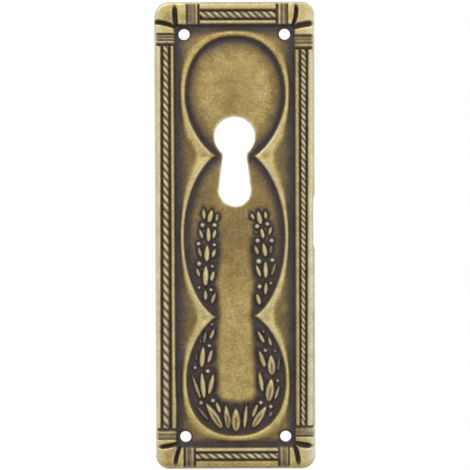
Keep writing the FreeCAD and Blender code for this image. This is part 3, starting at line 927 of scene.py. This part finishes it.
def on_sheet(points, margin):
    """The points that lie on the sheet, clear of its edges."""
    return points[on_metal(points, margin)]


def crowded(taken, x, z, clear):
    """Whether a point that is taken lies nearer than the clearance."""
    reach = math.ceil(clear / NEAREST)
    cell_x, cell_z = int(x // NEAREST), int(z // NEAREST)
    for step_x in range(-reach, reach + 1):
        for step_z in range(-reach, reach + 1):
            other = taken.get((cell_x + step_x, cell_z + step_z))
            if other and (other[0] - x) ** 2 + (other[1] - z) ** 2 < clear * clear:
                return True
    return False


def thinned(groups):
    """The groups of points in order, without any that crowd one already kept."""
    taken = {}
    kept = []
    for points, clear in groups:
        for x, z in points:
            if not crowded(taken, x, z, clear):
                taken[(int(x // NEAREST), int(z // NEAREST))] = (x, z)
                kept.append((x, z))
    return np.array(kept)


def loop_edges(loops):
    """The edges round each loop in turn, as pairs of points counted through all the loops."""
    edges = []
    start = 0
    for loop in loops:
        count = len(loop)
        edges += [(start + i, start + (i + 1) % count) for i in range(count)]
        start += count
    return edges


def triangles(loops, loose):
    """Triangles over the plate between its loops; the loops' points come first."""
    points = np.vstack(loops + [loose])
    placed = [Vector(point) for point in points.tolist()]
    result = geometry.delaunay_2d_cdt(placed, loop_edges(loops), [], 0, 1e-6, True)
    found, faces, origins = np.array([tuple(v) for v in result[0]]), np.array(result[2]), result[3]
    if len(found) != len(points) or any(origin != [i] for i, origin in enumerate(origins)):
        raise ValueError("the mesh's points did not stay apart")
    middles = found[faces].mean(axis=1)
    return found, faces[on_metal(middles, 0)]


def blurred(raster, width):
    """A raster softened by a round brush of the given width, in millimetres."""
    reach = math.ceil(2.5 * width / RASTER)
    weights = np.exp(-0.5 * (np.arange(-reach, reach + 1) * RASTER / width) ** 2)
    weights /= weights.sum()
    for axis in (0, 1):
        margins = [(reach, reach) if a == axis else (0, 0) for a in (0, 1)]
        padded = np.pad(raster, margins, mode="edge")
        size = raster.shape[axis]
        shifted = (np.take(padded, range(i, i + size), axis=axis) for i in range(len(weights)))
        raster = sum(weight * moved for weight, moved in zip(weights, shifted))
    return raster


class Relief:
    """The face's height and the back's hollow on an even raster."""

    def __init__(self):
        self.xs = np.arange(LEFT - 2, RIGHT + 2, RASTER)
        self.zs = np.arange(BOTTOM - 2, TOP + 2, RASTER)
        x, z = np.meshgrid(self.xs, self.zs)
        metal = on_metal(np.column_stack([x.ravel(), z.ravel()]), 0).reshape(x.shape)
        self.height = np.where(metal, face_height(x, z), 0.3)
        self.fine = self.height - blurred(self.height, 0.38)
        self.hollow = blurred(np.minimum(self.height, HOLLOW_LIMIT), HOLLOW_SOFTNESS) - SHEET

    def at(self, raster, x, z):
        """The value of one of the rasters at points between its own."""
        column = np.clip((x - self.xs[0]) / RASTER, 0, len(self.xs) - 1.001)
        row = np.clip((z - self.zs[0]) / RASTER, 0, len(self.zs) - 1.001)
        c, r = column.astype(int), row.astype(int)
        u, v = column - c, row - r
        lower = mixed(raster[r, c], raster[r, c + 1], u)
        upper = mixed(raster[r + 1, c], raster[r + 1, c + 1], u)
        return mixed(lower, upper, v)


def back_height(x, z, relief):
    """Height of the sheet's hollow back above the wall: flat on its rim, hollow inside it."""
    rim = ramp(inset_from_edge(x, z), 1.1, 2.0)
    return np.minimum(relief.at(relief.hollow, x, z), relief.at(relief.height, x, z) - 0.45).clip(0) * rim


def back_tone(hollow):
    """Brightness of the back: rubbed on the rim that lies on the wall, darker in the hollow."""
    tone = mixed(BACK_RIM_TONE, BACK_HOLLOW_TONE, ramp(hollow, 0.0, 0.3))
    return tone - 0.08 * ramp(hollow, 0.35, 0.75)


def field_tone(places):
    """Brightness of the field: black beside the frame, browner the further in, with a painted shadow below
    the top of the frame.
    """
    inward = from_the_frame(places)
    low_corner = (1 - ramp(places["bottom"][0], 9, 13)) * bump(inward, 2.3, 0.9)
    # Painted shadow in the field just below the top of the frame
    painted_shade_under_top = 1 - ramp(places["top"][0] - frame_width("top"), 0.1, 0.9)
    return between(inward, FIELD_TONES) + 0.07 * low_corner - 0.06 * painted_shade_under_top


def dome_tone(x, z, inward):
    """Brightness of the dome: a dark ring inside the bead, then rubbed, with a browner middle; darker low
    down, with painted shade under the bead's top.
    """
    # Painted shade inside the top of the bead
    painted_shade_under_top = ramp(z, 36, 42) * (1 - ramp(inward, 1.2, 2.6))
    shade = 0.03 * (1 - ramp(z, 26, 33)) + 0.05 * painted_shade_under_top
    return between(inward, DOME_TONES) + patches(x, z, DOME_PATCHES) - shade


def ground_tone(x, z, inward):
    """Brightness of the ground below the dome: smooth beside the keyhole, black round the garland."""
    beside_garland = 0.225 + 0.09 * bump(inward, 2.5, 0.7) * ramp(z, -9, -2)
    tone = mixed(beside_garland, between(inward, BESIDE_KEYHOLE_TONES), ramp(z, -4, 3))
    return mixed(LEAF_SHADE, tone, ramp(away_from_garland(x, z), 0.1, 0.8))


def inside_tone(x, z, sharp):
    """Brightness inside the bead."""
    inward = -sharp
    tone = ground_tone(x, z, inward)
    tongue = between(-z, TONGUE_TONES) * ramp(inward, 0.5, 1.5)
    tone = mixed(tone, tongue, (1 - ramp(tongue_edge(x, z), -1.35, 0.65)) * ramp(-z, -9, -1))
    leaves = garland_height(x, z, LEAVES, ()) / LEAF_RISE
    berries = garland_height(x, z, (), BERRIES) / BERRY_RISE
    tone = mixed(tone, LEAF_TONE, ramp(leaves, 0.12, 1.05))
    tone = mixed(tone, BERRY_TONE, ramp(berries, 0.12, 0.9))
    return mixed(tone, dome_tone(x, z, inward), ramp(z, 15.5, 22))


def slope_glint(x, z, sharp):
    """The pale light caught on the bead's inner slope beside the upper points."""
    beside = bump(z, 14.3, 3.0) + np.where(x > 0, bump(z, 22.0, 3.2), 0)
    return bump(sharp, -0.42, 0.17) * np.minimum(beside, 1)


def frame_tone(x, z, places):
    """Brightness of the frame: the higher it stands, the more it is rubbed, with painted shade on the bottom
    rail's lower edge and a painted sheen on the outer edge.
    """
    low = np.full_like(x, GROOVE_FLOOR)
    standing = np.maximum.reduce([side_height(side, places, low) for side in SIDES])
    share = np.clip((standing - GROOVE_FLOOR) / (RAIL_TOP - GROOVE_FLOOR), 0, 1)
    tone = mixed(GROOVE_DARK, RAIL_TONE, share ** 1.5)
    # Painted shade along the bottom rail's lower edge, as if lit from above
    tone = tone * mixed(1.0, BOTTOM_RAIL_SHADED, ramp(-z, 50.0, 51.4))
    tone = tone * mixed(1.0, TOP_RAIL_LEFT, ramp(z, 47.5, 48.5))
    for side, dulled in INNER_RAIL_DULLED.items():
        start, end = inner_rail_start(side), frame_width(side)
        tone = tone * (1 - dulled * band(places[side][0], start - 0.1, start + 0.2, end + 0.6, end + 0.9))
    tone = tone + patches(x, z, FRAME_PATCHES)
    # Painted sheen where the rolled outer edge catches light
    return tone + 0.1 * (1 - ramp(inset_from_edge(x, z), 0.1, 0.5))


def face_tone(x, z, relief):
    """How bright the brass is, as a share of white: dark patina in the hollows, rubbed light on the ridges,
    and painted shade and painted highlights in places.
    """
    places = side_places(x, z)
    sharp, soft = cartouche_distances(x, z)
    from_frame = from_the_frame(places)
    rim = keyhole_distance(x, z)
    bead = BEAD_TONE + patches(x, z, BEAD_PATCHES) + 0.045 * bump(np.abs(z), CUSP_Z, 6.0)
    bead = bead - 0.09 * cusp_dip(x, z) - 0.055 * ramp(z, 34, 40)
    tone = mixed(inside_tone(x, z, sharp), bead, ramp(sharp, -0.98, -0.14))
    tone = mixed(field_tone(places), tone, bead_share(z, soft, room_outside(places)))
    # On the lower left, the frame's brightness reaches further into the field
    reaching_left = ramp(-z, -15, 25) * (x < 0)
    tone = mixed(frame_tone(x, z, places), tone, ramp(from_frame, 0.12 * reaching_left, 0.25 + 0.6 * reaching_left))
    tone = tone * (1 - LENS_DARKNESS * np.clip(lens_cuts(places) / LENS_DEPTH, 0, 1))
    tone = tone * mixed(0.6, 1.0, ramp(hole_distance(x, z), 0.1, 0.9))
    # Painted highlights: round the keyhole's rim, at its neck, and as a glint on the bead's inner slope
    tone = tone + 0.17 * (1 - ramp(rim, 0.05, 0.4)) + 0.12 * slope_glint(x, z, sharp)
    tone = tone + 0.2 * bump(z, NECK_HIGHLIGHT_Z, 0.8) * (1 - ramp(rim, 0.1, 0.8))
    tone = tone + 0.3 * np.clip(relief.at(relief.fine, x, z), -0.3, 0.2)
    return np.clip(tone, 0, 1)


def side_paleness(side, places):
    """How pale one side of the frame looks: its rope, its inner rail and its bindings' ribs."""
    across, from_start = places[side][:2]
    start, end = inner_rail_start(side), frame_width(side)
    rope = rope_height(straightened(side, across, from_start), from_start, side)
    on_rail = band(across, start - 0.1, start + 0.1, end, end + 0.5)
    pale = np.maximum(0.5 * rope / (ROPE_TOP - GROOVE_FLOOR), 0.25 * on_rail)
    for binding, along in side_arms(side, places):
        first, last = binding[5][0][0], rails_start(binding)
        ribbed = band(along, first - 0.2, first + 0.1, last - 0.2, last)
        pale = np.maximum(pale, 0.32 * ribbed * (1 - ramp(across, end, end + 0.2)))
    return pale


def paleness_and_sheen(x, z):
    """How pale the metal looks: a painted sheen on its turned-down edges, keyhole's rim, bead's inner slope
    and outer side rails, and its own paler colour on berries, leaves, rope and ribs.
    """
    places = side_places(x, z)
    sharp = cartouche_distances(x, z)[0]
    berries = garland_height(x, z, (), BERRIES) / BERRY_RISE
    slender = garland_height(x, z, SLENDER_LEAVES, ()) / LEAF_RISE
    broad = garland_height(x, z, BROAD_LEAVES, ()) / LEAF_RISE
    pale = [side_paleness(side, places) for side in SIDES]
    pale += [
        # Painted sheen on the turned-down edges
        0.9 * (1 - ramp(inset_from_edge(x, z), 0.1, 0.8)),
        0.85 * ramp(berries, 0.05, 0.3),
        0.5 * ramp(slender, 0.05, 0.3),
        0.25 * ramp(broad, 0.05, 0.3),
        # Painted highlight round the keyhole's rim
        0.85 * (1 - ramp(keyhole_distance(x, z), 0.05, 0.4)),
        0.3 * bump(sharp, 0, 0.6) * (1 - ramp(np.abs(z), 20, 36)),
        # Painted glint on the bead's inner slope
        0.8 * slope_glint(x, z, sharp),
        # Painted sheen along the right and left outer rails
        (1 - ramp(places["right"][0], 1.0, 2.2)) * mixed(0.35, 0.75, ramp(-z, -10, 20)),
        0.3 * (1 - ramp(places["left"][0], 1.2, 1.5)),
    ]
    return np.maximum.reduce(pale)


def dark_ground(x, z):
    """Where the patina turns to violet black: beside the frame and in the ring inside the bead."""
    beside = band(from_the_frame(side_places(x, z)), 0.1, 0.5, 1.0, 3.2)
    return np.maximum(beside, bump(cartouche_distances(x, z)[0], -1.2, 0.8))


def line_points(keyhole):
    """Points along every form that should come out crisp, in the order that they are kept."""
    lines = [outline_points(inset) for inset in (0.07, 0.2, 0.4, 0.62, 0.85)]
    lines += [moved_out(keyhole, away) for away in (0.12, 0.3, 0.55)]
    lines += [round_points(hole, HOLE_RADIUS + away) for hole in HOLES for away in (0.15, 0.35, 0.6)]
    lines += [leaf_points(leaf) for leaf in LEAVES] + [berry_points(berry) for berry in BERRIES]
    lines += [rope_points(side) for side in SIDES] + [binding_points(*key) for key in BINDINGS]
    lines += [rail_points(side) for side in SIDES] + [bead_points()]
    return np.vstack(lines)


def keep_on_points(mesh, name, front, back):
    """Keeps a value at each point of the mesh for the material, face first and then back."""
    values = np.concatenate([front, back]).astype(np.float32)
    mesh.attributes.new(name, "FLOAT", "POINT").data.foreach_set("value", values)


def plate_mesh():
    """The whole plate as one closed mesh: face, hollow back and the walls between them."""
    keyhole = keyhole_points()
    holes = [round_points(hole, HOLE_RADIUS)[::-1] for hole in HOLES]
    loops = [outline_points(0), keyhole] + holes
    edges = np.vstack(loops)
    lines = on_sheet(line_points(keyhole), LINE_CLEAR)
    fill = on_sheet(fill_points(FILL_STEP), FILL_CLEAR)
    face_loose = thinned([(edges, 0.0), (lines, NEAREST), (fill, FILL_CLEAR)])[len(edges):]
    front, front_faces = triangles(loops, face_loose)
    back, back_faces = triangles(loops, on_sheet(fill_points(BACK_STEP), BACK_CLEAR))

    relief = Relief()
    x, z = front[:, 0], front[:, 1]
    behind = back_height(back[:, 0], back[:, 1], relief)
    corners = np.vstack([
        np.column_stack([x, -face_height(x, z), z]),
        np.column_stack([back[:, 0], -behind, back[:, 1]]),
    ]) * MM
    later = len(front)
    faces = facing(front, front_faces, True).tolist() + (facing(back, back_faces, False) + later).tolist()
    faces += [(here, there, there + later, here + later) for here, there in loop_edges(loops)]

    mesh = bpy.data.meshes.new("escutcheon")
    mesh.from_pydata(corners.tolist(), [], faces)
    mesh.validate()
    # One tone for wear, patina and painted light, and a paleness that is partly painted sheen
    keep_on_points(mesh, "rubbed_and_painted_light", face_tone(x, z, relief), back_tone(behind))
    keep_on_points(mesh, "violet", dark_ground(x, z), np.full(len(back), BACK_VIOLET))
    keep_on_points(mesh, "pale", paleness_and_sheen(x, z), np.zeros(len(back)))
    return mesh


def facing(points, faces, outward):
    """Faces turned so that all of them look away from the wall, or toward it."""
    a, b, c = (points[faces[:, i]] for i in range(3))
    turn = (b[:, 0] - a[:, 0]) * (c[:, 1] - a[:, 1]) - (b[:, 1] - a[:, 1]) * (c[:, 0] - a[:, 0])
    wrong = (turn > 0) != outward
    faces = faces.copy()
    faces[wrong] = faces[wrong][:, ::-1]
    return faces


def mark_sharp_edges(mesh):
    """Smooth shading, with the corners between face, wall and back kept sharp."""
    mesh.polygons.foreach_set("use_smooth", [True] * len(mesh.polygons))
    beside = {}
    for polygon in mesh.polygons:
        for key in polygon.edge_keys:
            beside.setdefault(key, []).append(polygon.loop_total)
    for edge in mesh.edges:
        kinds = beside[tuple(sorted(edge.vertices))]
        edge.use_edge_sharp = len(kinds) == 2 and kinds[0] != kinds[1]


def node(tree, kind, inputs=(), **settings):
    """A node with its settings made and its inputs given values or linked."""
    made = tree.nodes.new(kind)
    for name, value in settings.items():
        setattr(made, name, value)
    for name, value in dict(inputs).items():
        if isinstance(value, bpy.types.NodeSocket):
            tree.links.new(value, made.inputs[name])
        else:
            made.inputs[name].default_value = value
    return made


def maths(tree, operation, first, second=0.0, clamp=False):
    inputs = {0: first, 1: second}
    return node(tree, "ShaderNodeMath", inputs, operation=operation, use_clamp=clamp).outputs[0]


def ranged(tree, value, low, high, from_low=0.0, from_high=1.0):
    inputs = {"Value": value, "From Min": from_low, "From Max": from_high, "To Min": low, "To Max": high}
    return node(tree, "ShaderNodeMapRange", inputs).outputs["Result"]


def colour_of(red, green, blue):
    """A colour written as it is seen, turned to the linear values that Blender uses."""
    linear = [(c / 255 / 12.92 if c < 11 else ((c / 255 + 0.055) / 1.055) ** 2.4) for c in (red, green, blue)]
    return (*linear, 1.0)


# Each kind of mark in the patina: the noise's scale, detail, roughness and distortion, and
# the range that it is stretched to, from the range that it has
MARKS = {
    "Grain": (2200.0, 3.0, 0.6, 0.0, (-1.0, 1.0, 0.25, 0.75)),
    "Blotches": (420.0, 4.0, 0.62, 0.4, (-1.0, 1.0, 0.28, 0.72)),
    "Warmth": (170.0, 5.0, 0.65, 0.3, (0.0, 1.0, 0.42, 0.66)),
}
GRAIN_SHARE = 0.085
BLOTCH_SHARE = 0.055


def mottling_group():
    """Uneven patina: fine grain, blotches, and wide patches of a warmer brown."""
    tree = bpy.data.node_groups.new("patina_mottling", "ShaderNodeTree")
    tree.interface.new_socket("Place", in_out="INPUT", socket_type="NodeSocketVector")
    for kind, mark in MARKS.items():
        scale = tree.interface.new_socket(kind + " Scale", in_out="INPUT", socket_type="NodeSocketFloat")
        scale.default_value = mark[0]
        tree.interface.new_socket(kind, in_out="OUTPUT", socket_type="NodeSocketFloat")
    given = tree.nodes.new("NodeGroupInput").outputs
    wanted = tree.nodes.new("NodeGroupOutput").inputs
    for kind, mark in MARKS.items():
        detail, roughness, distortion, stretch = mark[1:]
        noise = node(tree, "ShaderNodeTexNoise", {
            "Vector": given["Place"], "Scale": given[kind + " Scale"], "Detail": detail,
            "Roughness": roughness, "Distortion": distortion,
        })
        tree.links.new(ranged(tree, noise.outputs["Fac"], *stretch), wanted[kind])
    return tree


# The patina's colours, from the darkest to the most rubbed
PATINA_COLOURS = (
    (0.0, (20, 15, 13)), (0.1, (34, 24, 21)), (0.2, (60, 47, 41)), (0.3, (88, 74, 57)),
    (0.4, (118, 100, 66)), (0.5, (147, 124, 72)), (0.6, (173, 151, 91)), (0.7, (197, 180, 119)),
    (0.8, (215, 201, 143)), (1.0, (245, 238, 205)),
)
VIOLET_BLACK = colour_of(60, 52, 56)
WARM_TINT = (0.74, 0.63, 0.46, 1.0)


def patina_colour(tree, tone):
    ramp_node = node(tree, "ShaderNodeValToRGB", {"Fac": tone})
    stops = ramp_node.color_ramp.elements
    while len(stops) < len(PATINA_COLOURS):
        stops.new(0.5)
    for stop, (place, colour) in zip(stops, PATINA_COLOURS):
        stop.position = place
        stop.color = colour_of(*colour)
    return ramp_node.outputs["Color"]


def mesh_value(tree, name):
    """A value that the mesh keeps at its points."""
    return node(tree, "ShaderNodeAttribute", attribute_name=name, attribute_type="GEOMETRY").outputs["Fac"]


def brass_material(name):
    """Antiqued brass: rubbed metal where the mesh says so, and brown-black patina elsewhere; the mesh's
    values also carry painted shade, painted highlights and painted sheen.
    """
    material = bpy.data.materials.new(name)
    material.use_nodes = True
    tree = material.node_tree
    surface = tree.nodes["Principled BSDF"]
    place = node(tree, "ShaderNodeTexCoord").outputs["Object"]
    rubbed_and_painted_light, violet, pale = [mesh_value(tree, kept) for kept in ("rubbed_and_painted_light", "violet", "pale")]
    marks = node(tree, "ShaderNodeGroup", node_tree=mottling_group())
    tree.links.new(place, marks.inputs["Place"])
    tone = maths(tree, "ADD", rubbed_and_painted_light, maths(tree, "MULTIPLY", marks.outputs["Grain"], GRAIN_SHARE))
    blotches = maths(tree, "MULTIPLY", marks.outputs["Blotches"], BLOTCH_SHARE)
    tone = maths(tree, "ADD", tone, blotches, clamp=True)
    colour = patina_colour(tree, tone)
    warmth = maths(tree, "MULTIPLY", marks.outputs["Warmth"], ranged(tree, tone, 0.6, 0.15, 0.5, 0.75))
    tint = {"Factor": warmth, "B": WARM_TINT}
    warm = node(tree, "ShaderNodeMix", tint, data_type="RGBA", blend_type="MULTIPLY")
    tree.links.new(colour, warm.inputs["A"])
    dark = maths(tree, "MULTIPLY", violet, ranged(tree, tone, 1.0, 0.0, 0.16, 0.4), clamp=True)
    dark = maths(tree, "MULTIPLY", dark, ranged(tree, marks.outputs["Blotches"], 0.2, 0.85, -0.6, 0.6))
    blend = node(tree, "ShaderNodeMix", {"Factor": dark, "B": VIOLET_BLACK}, data_type="RGBA")
    tree.links.new(warm.outputs["Result"], blend.inputs["A"])
    faded = node(tree, "ShaderNodeHueSaturation", {"Color": blend.outputs["Result"]})
    saturation = maths(tree, "SUBTRACT", 1.0, maths(tree, "MULTIPLY", pale, 0.6))
    tree.links.new(saturation, faded.inputs["Saturation"])
    tree.links.new(faded.outputs["Color"], surface.inputs["Base Color"])
    tree.links.new(ranged(tree, tone, 0.1, 0.7, 0.2, 0.7), surface.inputs["Metallic"])
    tree.links.new(ranged(tree, tone, 0.6, 0.42, 0.2, 0.75), surface.inputs["Roughness"])
    height = maths(tree, "ADD", marks.outputs["Grain"], marks.outputs["Blotches"])
    bumps = node(tree, "ShaderNodeBump", {"Strength": 0.25, "Distance": 0.00003, "Height": height})
    tree.links.new(bumps.outputs["Normal"], surface.inputs["Normal"])
    return material


def seen_directly(tree):
    """1 for the camera, and for what metal or glass reflects or lets through; 0 for light."""
    rays = node(tree, "ShaderNodeLightPath").outputs
    straight = maths(tree, "MAXIMUM", rays["Is Camera Ray"], rays["Is Glossy Ray"])
    return maths(tree, "MAXIMUM", straight, rays["Is Transmission Ray"])


def make_floor():
    half = 0.24
    level = -0.12
    mesh = bpy.data.meshes.new("floor")
    corners = [(-half, -half, level), (half, -half, level), (half, half, level), (-half, half, level)]
    mesh.from_pydata(corners, [], [(0, 1, 2, 3)])
    floor = bpy.data.objects.new("floor", mesh)
    bpy.context.scene.collection.objects.link(floor)
    material = bpy.data.materials.new("pale_floor")
    material.use_nodes = True
    surface = material.node_tree.nodes["Principled BSDF"]
    surface.inputs["Base Color"].default_value = colour_of(244, 244, 244)
    surface.inputs["Roughness"].default_value = 0.9
    mesh.materials.append(material)


def make_world():
    world = bpy.data.worlds.new("studio")
    bpy.context.scene.world = world
    world.use_nodes = True
    tree = world.node_tree
    background = tree.nodes["Background"]
    background.inputs["Color"].default_value = (1, 1, 1, 1)
    lighting_strength = 0.55
    seen_strength = 1.0
    strength = ranged(tree, seen_directly(tree), lighting_strength, seen_strength)
    tree.links.new(strength, background.inputs["Strength"])


def area_light(name, place, size, power):
    light = bpy.data.lights.new(name, "AREA")
    light.shape = "DISK"
    light.size = size
    light.energy = power
    lamp = bpy.data.objects.new(name, light)
    lamp.location = place
    lamp.rotation_euler = (-Vector(place)).to_track_quat("-Z", "Y").to_euler()
    bpy.context.scene.collection.objects.link(lamp)


def make_camera():
    """The photograph's view: square on, from very slightly above, with the plate a hair askew."""
    elevation = math.radians(1.0)
    distance = 0.3305
    roll = math.radians(-0.21)
    camera = bpy.data.objects.new("camera", bpy.data.cameras.new("camera"))
    camera.data.lens = 112
    camera.data.sensor_width = 36
    aim_height = 0.00018
    target = Vector((0, 0, aim_height))
    place = target + Vector((0, -math.cos(elevation), math.sin(elevation))) * distance
    turn = (target - place).to_track_quat("-Z", "Y")
    camera.location = place
    camera.rotation_euler = turn.to_euler()
    camera.rotation_euler.rotate_axis("Z", roll)
    bpy.context.scene.collection.objects.link(camera)
    bpy.context.scene.camera = camera


def make_plate():
    mesh = plate_mesh()
    mark_sharp_edges(mesh)
    mesh.materials.append(brass_material("brass_face"))
    plate = bpy.data.objects.new("escutcheon", mesh)
    bpy.context.scene.collection.objects.link(plate)
    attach(plate, "root")
    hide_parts("escutcheon_plate")


make_plate()
make_floor()
make_world()
area_light("key_light", place=(-0.2, -0.5, 0.45), size=0.3, power=1.2)
area_light("fill_light", place=(0.4, -0.5, -0.05), size=0.4, power=0.4)
make_camera()
bpy.context.scene.view_settings.view_transform = "Standard"
